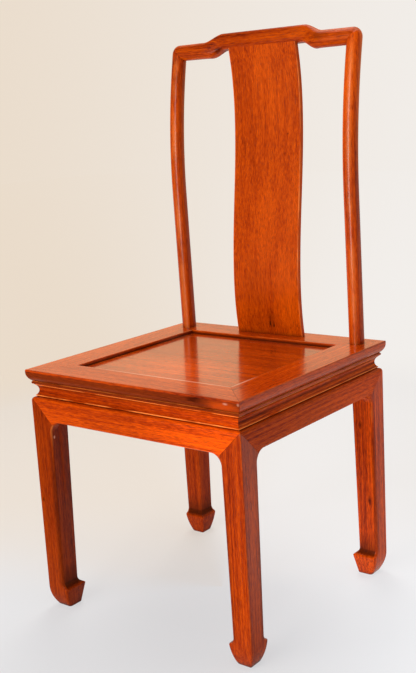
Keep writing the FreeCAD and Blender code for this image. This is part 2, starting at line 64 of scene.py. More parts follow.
# The heights where a leg's outer faces end, and where the core that goes up to the seat frame starts.
LEG_HEAD, LEG_CORE = 406.5, 406.6
MITRE_SLOPE = (WAIST_BOTTOM - APRON_BOTTOM) / LEG_WIDTH
POST_X, POST_Y, POST_RADIUS = 201.0, 192.8, 14.25
POST_LEAN, SWEEP_ANGLE = math.radians(-1.12), math.radians(12.4)
POST_STRAIGHT, SWEEP_RADIUS, CREST_RISE = 280.0, 1150.0, 554.3
CREST_HALF, CREST_STEP, CREST_SETBACK, CREST_DEPTH = 15.5, 14.3, 5.7, 24.0
CREST_TOP_RAMP, CREST_BOTTOM_RAMP = (93.0, 136.0), (88.0, 121.0)
CREST_MIDDLE_ROUND, CREST_END_ROUND, CREST_END_RAMP = 7.0, 13.5, (140.0, 184.0)
SPLAT_HALF, SPLAT_THICKNESS, SPLAT_ARRIS = 76.9, 10.0, 1.2
# The splat's centreline: its inset from the seat's back edge at even steps of height up to the crest rail,
# and how far it goes into the rail.
SPLAT_HEIGHT = 552.0
SPLAT_INSETS = (30.4, 35.95, 37.64, 36.25, 32.58, 27.43, 21.6, 15.89, 11.1, 8.02, 7.45, 10.19, 17.0)
SPLAT_ENTRY = 5.0
SPLAT_STEPS = 60
# Wear above zero is wood rubbed lighter, and in places a painted highlight, with fewer gaps above 1.
# Below zero it is dirt, and in places painted shade.
# The rounded inner edges are worn lighter with a painted highlight, the leg arrises are worn, and the
# shoulder has painted shade.
EDGE_WEAR_AND_HIGHLIGHT, ARRIS_WEAR, SHOULDER_SHADE = 1.0, 0.15, 0.2
# Along the inner edges of the legs' shafts there is painted shade, over a width.
SHAFT_SHADE, SHADE_WIDTH = 0.45, 5.0
# How far past a marked edge its wear, painted light and painted shade end.
WEAR_MARGIN = 1.0
# A joint line: how deep and how long the ends of two joined pieces are eased, and the dirt in it.
JOINT_DEPTH, JOINT_RUN, JOINT_DIRT = 0.3, 0.5, -1.0

SIDES = {
    "front": (0, HALF_WIDTH, HALF_DEPTH),
    "right": (90, HALF_DEPTH, HALF_WIDTH),
    "back": (180, HALF_WIDTH, HALF_DEPTH),
    "left": (270, HALF_DEPTH, HALF_WIDTH),
}
CORNERS = {
    "front_right": (0, 1, -1),
    "rear_right": (90, 1, 1),
    "rear_left": (180, -1, 1),
    "front_left": (270, -1, -1),
}


# Meshes. A point is (x, y, z, wear and painted light).
# In metres, points this close are joined and edges this short are dissolved.
WELD, SLIVER = 2e-5, 5e-6
# Faces that meet at a larger angle aren't shaded smooth.
SHARP_ANGLE = math.radians(34)


def loft(rings):
    """Faces between rings of equal counts, and one at each end."""
    count = len(rings[0])
    faces = []
    for low in range(0, (len(rings) - 1) * count, count):
        high = low + count
        for i in range(count):
            j = (i + 1) % count
            faces.append((low + i, low + j, high + j, high + i))
    faces.append(tuple(range(count)))
    faces.append(tuple(range((len(rings) - 1) * count, len(rings) * count)))
    return [point for ring in rings for point in ring], faces


def turned(points, angle, move=(0, 0)):
    """Points turned about the vertical axis by an angle in degrees, then moved."""
    c, s = math.cos(math.radians(angle)), math.sin(math.radians(angle))
    return [(c * x - s * y + move[0], s * x + c * y + move[1], z, wear_and_painted_light) for x, y, z, wear_and_painted_light in points]


def dress(node, points, faces, slot="rosewood"):
    """A finished piece that stands for a CAD node."""
    mesh = bpy.data.meshes.new(node + "_finish")
    mesh.from_pydata([Vector(point[:3]) * MM for point in points], [], faces)
    wear_and_light = mesh.attributes.new("wear_and_painted_light", "FLOAT", "POINT")
    wear_and_light.data.foreach_set("value", [point[3] for point in points])
    shape = bmesh.new()
    shape.from_mesh(mesh)
    bmesh.ops.remove_doubles(shape, verts=shape.verts, dist=WELD)
    bmesh.ops.dissolve_degenerate(shape, edges=shape.edges, dist=SLIVER)
    bmesh.ops.triangulate(shape, faces=[face for face in shape.faces if len(face.verts) > 4])
    bmesh.ops.recalc_face_normals(shape, faces=shape.faces)
    shape.to_mesh(mesh)
    shape.free()
    mesh.shade_smooth()
    mesh.set_sharp_from_angle(angle=SHARP_ANGLE)
    piece = bpy.data.objects.new(node + "_finish", mesh)
    scene.collection.objects.link(piece)
    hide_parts(node)
    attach(piece, "root")


def swing(center, start, end, steps):
    """Points along the shorter arc about a centre from a start to an end."""
    arm = start - center
    sweep = math.atan2(arm.x * (end - center).y - arm.y * (end - center).x, arm.dot(end - center))
    return [center + Matrix.Rotation(sweep * k / steps, 2) @ arm for k in range(steps + 1)]


def rounded(vertices, steps=4, margin=WEAR_MARGIN):
    """A closed outline of (a, b, wear) from corners of (a, b, radius, wear); wear holds painted light too.
    """
    outline = []
    for i, (a, b, radius, wear_and_painted_light) in enumerate(vertices):
        if radius == 0:
            outline.append((a, b, wear_and_painted_light))
            continue
        corner = Vector((a, b))
        before = (Vector(vertices[i - 1][:2]) - corner).normalized()
        after = (Vector(vertices[(i + 1) % len(vertices)][:2]) - corner).normalized()
        half = before.angle(after) / 2
        run = radius / math.tan(half)
        center = corner + (before + after).normalized() * (radius / math.sin(half))
        start, end = corner + before * run, corner + after * run
        if wear_and_painted_light and margin:
            outline.append((*(start + before * margin), 0))
        outline += [(*point, wear_and_painted_light) for point in swing(center, start, end, steps)]
        if wear_and_painted_light and margin:
            outline.append((*(end + after * margin), 0))
    return outline


def arc(center, radius, start, end, steps, wear_and_painted_light=0):
    """Corners along an arc between two angles in degrees."""
    angles = [math.radians(start + (end - start) * k / steps) for k in range(steps + 1)]
    return [(center[0] + radius * math.cos(t), center[1] + radius * math.sin(t), 0, wear_and_painted_light) for t in angles]


def shrunk(outline, by):
    """A closed outline drawn in by a small distance."""
    count = len(outline)
    area = sum(outline[i - 1][0] * outline[i][1] - outline[i][0] * outline[i - 1][1] for i in range(count))
    turn = 1 if area > 0 else -1
    result = []
    for i, (a, b, wear_and_painted_light) in enumerate(outline):
        normal = Vector((0, 0))
        for first, second in ((outline[i - 1], outline[i]), (outline[i], outline[(i + 1) % count])):
            edge = Vector((second[0] - first[0], second[1] - first[1]))
            if edge.length > 1e-6:
                normal += Vector((-edge.y, edge.x)).normalized()
        normal = normal.normalized() * by * turn
        result.append((a + normal.x, b + normal.y, wear_and_painted_light))
    return result


def side_member(node, side, section):
    """A moulded member along one side of the seat, with 45 degree mitres that leave a fine joint line."""
    angle, half_run, reach = SIDES[side]
    rings = []
    ends = ((-1, 0, JOINT_DEPTH), (-1, JOINT_RUN, 0), (1, JOINT_RUN, 0), (1, 0, JOINT_DEPTH))
    for sign, pull, draw in ends:
        ring = [
            (sign * (half_run - inset - pull), inset - reach, z, wear_and_painted_light if pull else JOINT_DIRT)
            for inset, z, wear_and_painted_light in shrunk(section, draw)
        ]
        rings.append(turned(ring, angle))
    dress(node, *loft(rings))


# The seat frame's section: its inner and outer upper edges, a band, an ovolo, a bead and the panel's line.
INNER_ROUND, INNER_WEAR = 1.1, 0.4
# Painted shade on the outer upper edge.
OUTER_ROUND, OUTER_SHADE = 1.4, -0.3
BAND_HEIGHT, OVOLO_INSET, OVOLO_BOTTOM = 5.0, 8.4, 438.6
# The bead's top is worn lighter with a painted highlight, and its underside has painted shade.
BEAD, BEAD_RADIUS, BEAD_WEAR_AND_HIGHLIGHT, BEAD_SHADE = (9.7, 435.4), 2.9, 1.2, -0.5
# A dark line where the panel meets the frame: dirt in the joint, and painted shade in the recess's corner.
PANEL_LINE, PANEL_DIRT_AND_SHADE = 453.7, -1.1


def frame_section(edge_shade):
    """The seat frame's section, with painted shade for its ovolo and for the outside of its bead."""
    band = SEAT_HEIGHT - BAND_HEIGHT
    drop = band - OVOLO_BOTTOM
    radius = (OVOLO_INSET ** 2 + drop ** 2) / (2 * OVOLO_INSET)
    sweep = math.degrees(math.asin(drop / radius))
    return rounded([
        (FRAME_WIDTH, SEAT_HEIGHT, INNER_ROUND, INNER_WEAR),
        (0, SEAT_HEIGHT, OUTER_ROUND, OUTER_SHADE),
        *arc((radius, band), radius, 180, 180 + sweep, 10, edge_shade),
        *arc(BEAD, BEAD_RADIUS, 90, 126, 3, BEAD_WEAR_AND_HIGHLIGHT),
        *arc(BEAD, BEAD_RADIUS, 138, 198, 4, edge_shade),
        *arc(BEAD, BEAD_RADIUS, 210, 270, 4, BEAD_SHADE),
        (BEAD[0], FRAME_BOTTOM, 0, 0),
        (FRAME_WIDTH, FRAME_BOTTOM, 0, 0),
        (FRAME_WIDTH, PANEL_LINE, 0, PANEL_DIRT_AND_SHADE),
    ])


def arc_through(first, middle, last, steps):
    """Points along the arc through three points."""
    (ax, ay), (bx, by), (cx, cy) = first, middle, last
    twice = 2 * (ax * (by - cy) + bx * (cy - ay) + cx * (ay - by))
    a, b, c = ax * ax + ay * ay, bx * bx + by * by, cx * cx + cy * cy
    across = a * (by - cy) + b * (cy - ay) + c * (ay - by)
    along = a * (cx - bx) + b * (ax - cx) + c * (bx - ax)
    return swing(Vector((across, along)) / twice, Vector(first), Vector(last), steps)


def waist_section(lines, lip_wear_and_highlight):
    """The waist's section: a thin fillet, a cove, and a lip that stands free of the apron's shoulder.
    Lines are the painted shade and light down the cove, and the fillet and lip have wear with a painted
    highlight."""
    fillet, fillet_bottom, fillet_round, fillet_wear_and_highlight = 11.0, FRAME_BOTTOM - 1.6, 0.4, 2
    lip, lip_bottom, lip_top, lip_round = 11.2, WAIST_BOTTOM + 1.2, WAIST_BOTTOM + 3.2, 0.5
    fillet_ledge, lip_ledge, quirk_ledge = 0.9, 1.0, 0.6
    quirk = FACE_INSET + SHOULDER_RADIUS + quirk_ledge
    back = FACE_INSET + APRON_THICKNESS
    hollow = (16.0, (fillet_bottom + lip_top) / 2)
    upper, lower = (fillet + fillet_ledge, fillet_bottom), (lip + lip_ledge, lip_top)
    cove = arc_through(upper, hollow, lower, len(lines) - 1)
    return rounded([
        (fillet, FRAME_BOTTOM, 0, fillet_wear_and_highlight),
        (fillet, fillet_bottom, fillet_round, fillet_wear_and_highlight),
        *[(a, b, 0, wear_and_painted_light) for (a, b), wear_and_painted_light in zip(cove, lines)],
        (lip, lip_top, lip_round, lip_wear_and_highlight),
        (lip, lip_bottom, lip_round, lip_wear_and_highlight),
        (quirk, lip_bottom, 0, 0),
        (quirk, WAIST_BOTTOM, 0, 0),
        (back, WAIST_BOTTOM, 0, 0),
        (back, FRAME_BOTTOM, 0, 0),
    ], margin=0)


# The front ovolo has the most painted shade, and its lip the least wear and painted highlight.
EDGE_SHADES = {"front": -0.85, "right": -0.15, "back": -0.2, "left": -0.2}
LIP_WEARS_AND_HIGHLIGHTS = {"front": 1.2, "right": 2, "back": 2, "left": 2}
# Painted shade at the top of the cove, under the bead.
COVE_SHADE = 0.5
PLAIN_COVE = [-COVE_SHADE * max(1 - k / 6, 0) for k in range(13)]
# Only the right cove has bands of painted shade and light, which also stand for grain lines.
LINED_COVE = [-1.0, -0.9, -0.4, 0.3, 0.5, 0.1, -0.5, -0.8, -0.4, 0.2, 0.3, 0, 0]
for side in SIDES:
    side_member("seat_frame_" + side, side, frame_section(EDGE_SHADES[side]))
    cove_lines = LINED_COVE if side == "right" else PLAIN_COVE
    side_member("waist_" + side, side, waist_section(cove_lines, LIP_WEARS_AND_HIGHLIGHTS[side]))


def edge_arc(steps=6):
    """The rounded inner edge of a leg or apron: distance from the opening, depth behind the face, wear and
    painted highlight.
    """
    angles = [math.pi / 2 * k / steps for k in range(steps + 1)]
    wear_and_light_values = [EDGE_WEAR_AND_HIGHLIGHT if 2 < k < steps else 0 for k in range(steps + 1)]
    return [
        (EDGE_ROUND * (1 - math.sin(t)), EDGE_ROUND * (1 - math.cos(t)), wear_and_painted_light)
        for t, wear_and_painted_light in zip(angles, wear_and_light_values)
    ]


def shoulder_depth(z):
    """How far the rounded shoulder has drawn a face in at a height."""
    rise = min(max(z - (WAIST_BOTTOM - SHOULDER_RADIUS), 0), SHOULDER_RADIUS)
    return SHOULDER_RADIUS - math.sqrt(SHOULDER_RADIUS ** 2 - rise ** 2)


def arch_row(half_face, offset):
    """A line along the arch, moved into the wood: from one leg mitre to the other, as (x, z)."""
    flat = half_face - LEG_WIDTH - ARCH_RADIUS
    radius = ARCH_RADIUS + offset
    across, down = half_face - flat, WAIST_BOTTOM - ARCH_SPRING
    shift = down - MITRE_SLOPE * across
    a, b, c = 1 + MITRE_SLOPE ** 2, 2 * MITRE_SLOPE * shift, shift ** 2 - radius ** 2
    run = (-b + math.sqrt(b * b - 4 * a * c)) / (2 * a)
    last = math.acos(run / radius)
    angles = [last + (math.pi / 2 - last) * k / 8 for k in range(9)]
    right = [(flat + radius * math.cos(t), ARCH_SPRING + radius * math.sin(t)) for t in angles]
    middle = [(flat * share, ARCH_SPRING + radius) for share in (0.6, 0.2, -0.2, -0.6)]
    return right + middle + [(-x, z) for x, z in reversed(right)]


def apron(side):
    """An apron between its two leg mitres, with a rounded shoulder and a rounded lower edge."""
    angle, half_run, reach = SIDES[side]
    half_face = half_run - FACE_INSET
    guide = arch_row(half_face, EDGE_ROUND)
    shares = [x / guide[0][0] for x, z in guide]
    rows = [[(x, APRON_THICKNESS, z, 0) for x, z in arch_row(half_face, 0)]]
    for offset, depth, wear_and_painted_light in reversed(edge_arc()):
        rows.append([(x, depth, z, wear_and_painted_light) for x, z in arch_row(half_face, offset)])
    start = WAIST_BOTTOM - SHOULDER_RADIUS
    for k in range(7):
        z = start + SHOULDER_RADIUS * math.sin(math.pi * k / 12)
        depth = shoulder_depth(z)
        end = half_face - max((WAIST_BOTTOM - z) / MITRE_SLOPE, depth)
        # Painted shade at the top of the apron's shoulder, under the waist's lip.
        shade = -SHOULDER_SHADE * max(k - 2, 0) / 4
        rows.append([(end * share, depth, z, shade) for share in shares])
    back_end = half_face - APRON_THICKNESS
    rows.append([(back_end * share, APRON_THICKNESS, WAIST_BOTTOM, 0) for share in shares])
    rings = [list(column) for column in zip(*rows)]

    def eased(ring, inner):
        """The end ring drawn in at the joint, and the ring just before it."""
        near = []
        for end, other in zip(ring, inner):
            run = Vector(other[:3]) - Vector(end[:3])
            step = run.normalized() * min(JOINT_RUN, run.length / 2)
            near.append((*(Vector(end[:3]) + step), end[3]))
        tip = [(x, y + (JOINT_DEPTH if y < EDGE_ROUND else 0), z, wear_and_painted_light) for x, y, z, wear_and_painted_light in ring]
        return tip, near

    first, second = eased(rings[0], rings[1])
    last, before = eased(rings[-1], rings[-2])
    rings = [first, second] + rings[1:-1] + [before, last]
    face = FACE_INSET - reach
    placed = [turned([(x, y + face, z, wear_and_painted_light) for x, y, z, wear_and_painted_light in ring], angle) for ring in rings]
    dress("apron_" + side, *loft(placed))


for side in SIDES:
    apron(side)


def tangent_offset(run, rise, at):
    """Distance from a line of the arc that leaves it as its tangent and is off by run after rise."""
    radius = (run ** 2 + rise ** 2) / (2 * run)
    return radius - math.sqrt(radius ** 2 - at ** 2)


def foot_profile():
    """(height, outer faces' tuck, inner faces' distance) up the foot, with its ridge and its sole eased."""
    def tuck(z):
        return tangent_offset(HOOF_TUCK, HOOF_HEIGHT, max(HOOF_HEIGHT - z, 0))

    def slope(z):
        return HOOF_BASE + (ANKLE_WIDTH + HOOF_REACH - HOOF_BASE) * z / HOOF_HEIGHT

    def flare(z):
        return ANKLE_WIDTH + tangent_offset(HOOF_REACH, HOOF_FLARE, HOOF_HEIGHT + HOOF_FLARE - z)

    rows = []
    for k in range(6):
        turn = math.pi / 2 * k / 5
        z = SOLE_ROUND * (1 - math.cos(turn))
        ease = SOLE_ROUND * (1 - math.sin(turn))
        rows.append((z, tuck(z) + ease, slope(z) - ease))
    ridge_low, ridge_high = HOOF_HEIGHT - RIDGE_BELOW, HOOF_HEIGHT + RIDGE_ABOVE
    for k in range(1, 9):
        z = SOLE_ROUND + (ridge_low - SOLE_ROUND) * k / 8
        rows.append((z, tuck(z), slope(z)))
    low, top, high = (
        Vector((ridge_low, slope(ridge_low))),
        Vector((HOOF_HEIGHT, slope(HOOF_HEIGHT))),
        Vector((ridge_high, flare(ridge_high))),
    )
    for k in range(1, 6):
        t = k / 6
        z, inner = low * (1 - t) ** 2 + top * 2 * t * (1 - t) + high * t ** 2
        rows.append((z, tuck(z), inner))
    for k in range(9):
        z = ridge_high + (HOOF_HEIGHT + HOOF_FLARE - ridge_high) * k / 8
        rows.append((z, tuck(z), flare(z)))
    return rows


def corner_arc(u, v, du, dv, radius, steps=4):
    """Points round a section's corner, from its side along v to its side along u."""
    center = (u + du * radius, v + dv * radius)
    turns = [math.pi / 2 * k / steps for k in range(steps + 1)]
    return [(center[0] - du * radius * math.cos(t), center[1] - dv * radius * math.sin(t)) for t in turns]


# The height over which a leg's edge turns from painted shade to wear with a painted highlight, and heights
# of the dirt above the hoof.
EDGE_FADE = 60
GRIME_START, GRIME_ABOVE, GRIME_FADE = 3, 6, 8


def share_of(value, whole):
    """A value's share of a whole, from 0 to 1."""
    return min(max(value / whole, 0), 1)


def smooth_rise(z):
    """0 down the leg, where the edge has painted shade, and 1 in the arch, where it is worn with a painted
    highlight like the apron's.
    """
    t = share_of(z - ARCH_SPRING + EDGE_FADE, EDGE_FADE)
    return t * t * (3 - 2 * t)


def grime(z):
    """Dirt, as wear below zero, where the hoof flares out."""
    top = HOOF_HEIGHT + HOOF_FLARE
    return -share_of(z - HOOF_HEIGHT, GRIME_START) * share_of(top + GRIME_ABOVE - z, GRIME_FADE)


def leg_ring(z, outer, inner):
    """A leg's section at a height, as (u, v, wear and painted light): distances inwards from its two outer
    faces.
    """
    dirt_and_shade = grime(z)
    mitre = max((WAIST_BOTTOM - z) / MITRE_SLOPE, 0)
    spring = max(z - ARCH_SPRING, 0)
    face = outer + shoulder_depth(z)
    rise = smooth_rise(z)
    # Painted shade along the shaft's inner edges, fading out up into the arch and down at the hoof.
    shade = SHAFT_SHADE * (1 - rise) * share_of(z - HOOF_HEIGHT, HOOF_FLARE)
    edge = []
    steps = [(EDGE_ROUND + SHADE_WIDTH, 0, 0)] + edge_arc()
    for k, (offset, depth, wear_and_painted_light) in enumerate(steps):
        if z <= ARCH_SPRING:
            u = inner - offset
        else:
            reach = LEG_WIDTH + ARCH_RADIUS
            u = reach - math.sqrt(max((ARCH_RADIUS + offset) ** 2 - spring ** 2, 0))
            if ARCH_RADIUS + offset <= spring:
                u = reach
        limit = mitre - JOINT_RUN * (1 - k / (len(steps) - 1)) ** 2
        u = max(min(u, limit), face + 0.01)
        edge.append((u, max(outer + depth, face), wear_and_painted_light * rise - (shade if k else 0)))
    edge[-1] = (*edge[-1][:2], dirt_and_shade)
    tail = (edge[-1][0], APRON_THICKNESS, dirt_and_shade)
    arris = min(LEG_ARRIS, max(mitre - face, 0.02) * 0.4)
    bend = [(u, v, ARRIS_WEAR) for u, v in corner_arc(face, face, 1, 1, arris)]
    guard = (face + arris + WEAR_MARGIN, face, 0)
    if guard[0] > edge[0][0]:
        guard = (edge[0][0], face, 0)
    inner_bend = [(u, v, dirt_and_shade) for u, v in corner_arc(inner, inner, -1, -1, LEG_ARRIS)]
    half = [guard] + edge + [tail, (inner, APRON_THICKNESS, dirt_and_shade)]
    other = [(v, u, wear_and_painted_light) for u, v, wear_and_painted_light in reversed(half)]
    return bend + half + inner_bend + other


def leg(corner):
    """A leg: hoof foot, tapered shaft, and a head that spreads into the arch up to the apron mitres."""
    angle, x_sign, y_sign = CORNERS[corner]
    rows = foot_profile()
    ankle = HOOF_HEIGHT + HOOF_FLARE
    for k in range(1, 9):
        t = k / 8
        rows.append((ankle + (ARCH_SPRING - ankle) * t, 0, ANKLE_WIDTH + (LEG_WIDTH - ANKLE_WIDTH) * t))
    head = [ARCH_SPRING + 1.5 * k for k in range(1, 41)] + [LEG_HEAD]
    rows += [(z, 0, LEG_WIDTH) for z in head]
    rings = []
    for z, outer, inner in rows:
        rings.append([(-u, v, z, wear_and_painted_light) for u, v, wear_and_painted_light in leg_ring(z, outer, inner)])
    core = [
        (-max(u, APRON_THICKNESS), max(v, APRON_THICKNESS))
        for u, v, wear_and_painted_light in leg_ring(LEG_HEAD, 0, LEG_WIDTH)
    ]
    rings += [[(x, y, z, 0) for x, y in core] for z in (LEG_CORE, FRAME_BOTTOM)]
    move = (x_sign * (HALF_WIDTH - FACE_INSET), y_sign * (HALF_DEPTH - FACE_INSET))
    dress("leg_" + corner, *loft([turned(ring, angle, move) for ring in rings]))


for corner in CORNERS:
    leg(corner)


# Back posts, crest rail and splat

def direction(angle):
    """A unit vector that leans back from the vertical."""
    return Vector((0, math.sin(angle), math.cos(angle)))


HEAD = direction(POST_LEAN + SWEEP_ANGLE)
FOOT = Vector((0, POST_Y, SEAT_HEIGHT))
BEND = FOOT + direction(POST_LEAN) * (POST_STRAIGHT / math.cos(POST_LEAN))
SWEEP_CENTER = BEND + Vector((0, math.cos(POST_LEAN), -math.sin(POST_LEAN))) * SWEEP_RADIUS


def sweep_point(share):
    """A point of a post's axis along its sweep, and the axis's direction there."""
    along = direction(POST_LEAN + SWEEP_ANGLE * share)
    return SWEEP_CENTER - Vector((0, along.z, -along.y)) * SWEEP_RADIUS, along


SWEEP_END = sweep_point(1)[0]
CROWN = SWEEP_END + HEAD * ((SEAT_HEIGHT + CREST_RISE - SWEEP_END.z) / HEAD.z)


def crest_place(x, back, up):
    """A point along the crest rail, to its back and up, in the tilted frame of the posts' heads."""
    return CROWN + Vector((x, HEAD.z * back + HEAD.y * up, HEAD.z * up - HEAD.y * back))


def smooth_fall(x, span):
    """1 before a span and 0 after it, smooth between."""
    t = share_of(x - span[0], span[1] - span[0])
    return 1 - t * t * (3 - 2 * t)


# Quarters and angles round a rail's or post's section.
TURNS = [(q, math.pi / 2 * (q + k / 8)) for q in range(4) for k in range(9)]
# The elbow's centre, as a share of the crest rail's half height and of the post's radius.
ELBOW = 0.1845
# Rings along an elbow. Its joint line starts at a share of the way and is drawn in by a factor.
ELBOW_STEPS, ELBOW_JOINT, ELBOW_DRAW = 16, 0.985, 0.98


def crest_ring(x):
    """The crest rail's section at a distance from the middle: back and up for each turn."""
    middle = smooth_fall(x, CREST_TOP_RAMP)
    lifted = smooth_fall(x, CREST_BOTTOM_RAMP)
    round_end = 1 - smooth_fall(x, CREST_END_RAMP)
    top, bottom = CREST_HALF + CREST_STEP * middle, CREST_STEP * lifted - CREST_HALF
    half_up, up = (top - bottom) / 2, (top + bottom) / 2
    half_back = POST_RADIUS + (CREST_DEPTH / 2 - POST_RADIUS) * middle
    radius = CREST_END_ROUND + (CREST_MIDDLE_ROUND - CREST_END_ROUND) * middle
    core_back = (half_back - radius) * (1 - round_end)
    core_up = (half_up - radius) * (1 - round_end)
    ring = []
    for quarter, turn in TURNS:
        right = 1 if quarter in (0, 3) else -1
        above = 1 if quarter in (0, 1) else -1
        ring.append((
            CREST_SETBACK * middle + right * core_back + (half_back - core_back) * math.cos(turn),
            up + above * core_up + (half_up - core_up) * math.sin(turn),
        ))
    return ring


def elbow_line(height, start, share):
    """A line along the rail's surface into the elbow, up to the mitre: run and height, in shares of the
    half sizes. The outer half goes round the elbow's centre, and the inner half straight to the mitre."""
    if height < -ELBOW:
        return start + (height - start) * share, height
    radius = height + ELBOW
    straight, bend = -ELBOW - start, radius * math.pi / 4
    along = share * (straight + bend)
    if along <= straight:
        return start + along, height
    turn = (along - straight) / radius
    return -ELBOW + radius * math.sin(turn), -ELBOW + radius * math.cos(turn)


def elbow_rings(start, place):
    """Rings from a start to the mitre, its edge eased; place makes a point of run, height and depth."""
    shares = [k / ELBOW_STEPS for k in range(1, ELBOW_STEPS)] + [ELBOW_JOINT, 1]
    rings = []
    for share in shares:
        ring = []
        for quarter, turn in TURNS:
            run, height = elbow_line(math.sin(turn), start, share)
            draw = ELBOW_DRAW if share == 1 else 1
            ring.append((*place(run * draw, height * draw, math.cos(turn) * draw), 0))
        rings.append(ring)
    return rings


def crest_rail():
    """The crest rail from mitre to mitre."""
    # Closer where the rail steps down, and to the end of its straight part.
    stations = [0, 45, 84] + [88 + 3 * k for k in range(17)] + [140 + 4 * k for k in range(12)]
    right = [[(*crest_place(x, back, up), 0) for back, up in crest_ring(x)] for x in stations]
    start = (CREST_END_RAMP[1] - POST_X) / POST_RADIUS
    right += elbow_rings(start, lambda run, height, back: crest_place(
        POST_X + POST_RADIUS * run, POST_RADIUS * back, CREST_HALF * height))
    left = [[(-x, y, z, wear_and_painted_light) for x, y, z, wear_and_painted_light in ring] for ring in reversed(right[1:])]
    dress("crest_rail", *loft(left + right))


# Painted light round a post: the side its painted highlight is centred on, from the front towards the
# right, and its strength, then the cosine of the angle from that side where it starts, and the span of the
# cosine over which it grows.
POST_LIT_SIDE, POST_HIGHLIGHT, LIT_START, LIT_SPAN = math.radians(18), 0.6, 0.85, 0.15
# The same for painted shade, centred on the post's right.
POST_DARK_SIDE, POST_SHADE, DARK_START, DARK_SPAN = math.radians(95), 0.26, 0.2, 0.6


def post_light_and_shade(right, back):
    """Painted light round a post: a painted highlight in a band at its front, and painted shade on its
    right.
    """
    front = right * math.sin(POST_LIT_SIDE) - back * math.cos(POST_LIT_SIDE)
    away = right * math.sin(POST_DARK_SIDE) - back * math.cos(POST_DARK_SIDE)
    wear_and_light, dark = share_of(front - LIT_START, LIT_SPAN), share_of(away - DARK_START, DARK_SPAN)
    return POST_HIGHLIGHT * wear_and_light - POST_SHADE * dark


def back_post(name, sign):
    """A round post from the seat to its mitre with the crest rail."""
    axis = [(FOOT + direction(POST_LEAN) * step, direction(POST_LEAN)) for step in (0, 1.5, 90, 180)]
    axis += [sweep_point(k / 20) for k in range(21)]
    rings = []
    for number, (center, along) in enumerate(axis):
        ring = []
        for quarter, turn in TURNS:
            out = Vector((math.sin(turn), math.cos(turn) * along.z, -math.cos(turn) * along.y))
            point = center + out * POST_RADIUS
            if number == 0:
                point -= along * ((point.z - SEAT_HEIGHT) / along.z)
            ring.append((point.x + POST_X, point.y, point.z, 0))
        rings.append(ring)
    start = (SWEEP_END - CROWN).length / -CREST_HALF
    rings += elbow_rings(start, lambda run, height, back: crest_place(
        POST_X + POST_RADIUS * height, POST_RADIUS * back, CREST_HALF * run))
    painted_rings = []
    for number, ring in enumerate(rings):
        fade = min((len(rings) - 1 - number) / ELBOW_STEPS, 1)
        wear_and_light_values = [fade * post_light_and_shade(sign * math.sin(turn), math.cos(turn)) for quarter, turn in TURNS]
        painted_rings.append([(sign * point[0], *point[1:3], wear_and_painted_light) for point, wear_and_painted_light in zip(ring, wear_and_light_values)])
    dress("back_post_" + name, *loft(painted_rings))


def splat_inset(height):
    """The splat's inset at a height, by a smooth curve through its even steps."""
    step = SPLAT_HEIGHT / (len(SPLAT_INSETS) - 1)
    i = min(max(int(height / step), 0), len(SPLAT_INSETS) - 2)
    t = height / step - i
    points = [SPLAT_INSETS[min(max(i + k, 0), len(SPLAT_INSETS) - 1)] for k in (-1, 0, 1, 2)]
    first, last = (points[2] - points[0]) / 2, (points[3] - points[1]) / 2
    if i == 0:
        first = 1.5 * (points[2] - points[1]) - (points[3] - points[1]) / 4
    if i == len(SPLAT_INSETS) - 2:
        last = 1.5 * (points[2] - points[1]) - (points[2] - points[0]) / 4
    a = 2 * points[1] - 2 * points[2] + first + last
    b = -3 * points[1] + 3 * points[2] - 2 * first - last
    return ((a * t + b) * t + first) * t + points[1]


def back_splat():
    """The S-curved splat, with worn arrises up its sides."""
    half = SPLAT_THICKNESS / 2
    section = rounded([
        (-SPLAT_HALF, -half, SPLAT_ARRIS, 1),
        (SPLAT_HALF, -half, SPLAT_ARRIS, 1),
        (SPLAT_HALF, half, SPLAT_ARRIS, 0.6),
        (-SPLAT_HALF, half, SPLAT_ARRIS, 0.6),
    ])
    rings = []
    for k in range(SPLAT_STEPS + 1):
        height = (SPLAT_HEIGHT + SPLAT_ENTRY) * k / SPLAT_STEPS
        y = HALF_DEPTH - splat_inset(min(height, SPLAT_HEIGHT))
        rings.append([(x, y + depth, SEAT_HEIGHT + height, wear_and_painted_light) for x, depth, wear_and_painted_light in section])
    dress("back_splat", *loft(rings), slot="figured_rosewood")


crest_rail()
back_post("left", -1)
back_post("right", 1)
back_splat()


# Materials

def new_tree(owner):
    owner.use_nodes = True
    owner.node_tree.nodes.clear()
    return owner.node_tree


def add(tree, kind, inputs=None, **values):
    """A node with its properties, and with its inputs by name or number as values or links."""
    node = tree.nodes.new(kind)
    for key, value in values.items():
        setattr(node, key, value)
    for key, value in (inputs or {}).items():
        if isinstance(value, bpy.types.NodeSocket):
            tree.links.new(value, node.inputs[key])
        else:
            node.inputs[key].default_value = value
    return node


def calc(tree, operation, a, b=0.0, clamp=False):
    return add(tree, "ShaderNodeMath", {0: a, 1: b}, operation=operation, use_clamp=clamp).outputs[0]


def vector_calc(tree, operation, a, b, output=0):
    return add(tree, "ShaderNodeVectorMath", {0: a, 1: b}, operation=operation).outputs[output]


def remap(tree, value, low, high, to_low=0.0, to_high=1.0, smooth=False):
    kind = "SMOOTHSTEP" if smooth else "LINEAR"
    return add(tree, "ShaderNodeMapRange", {0: value, 1: low, 2: high, 3: to_low, 4: to_high},
               interpolation_type=kind).outputs[0]


def mix(tree, factor, first, second, blend="MIX"):
    node = add(tree, "ShaderNodeMix", {0: factor, 6: first, 7: second}, data_type="RGBA", blend_type=blend)
    return node.outputs[2]


def ramp(tree, value, stops):
    node = add(tree, "ShaderNodeValToRGB", {0: value})
    elements = node.color_ramp.elements
    while len(elements) < len(stops):
        elements.new(0.5)
    for element, (position, color) in zip(elements, stops):
        element.position = position
        element.color = (*color, 1.0)
    return node.outputs[0]


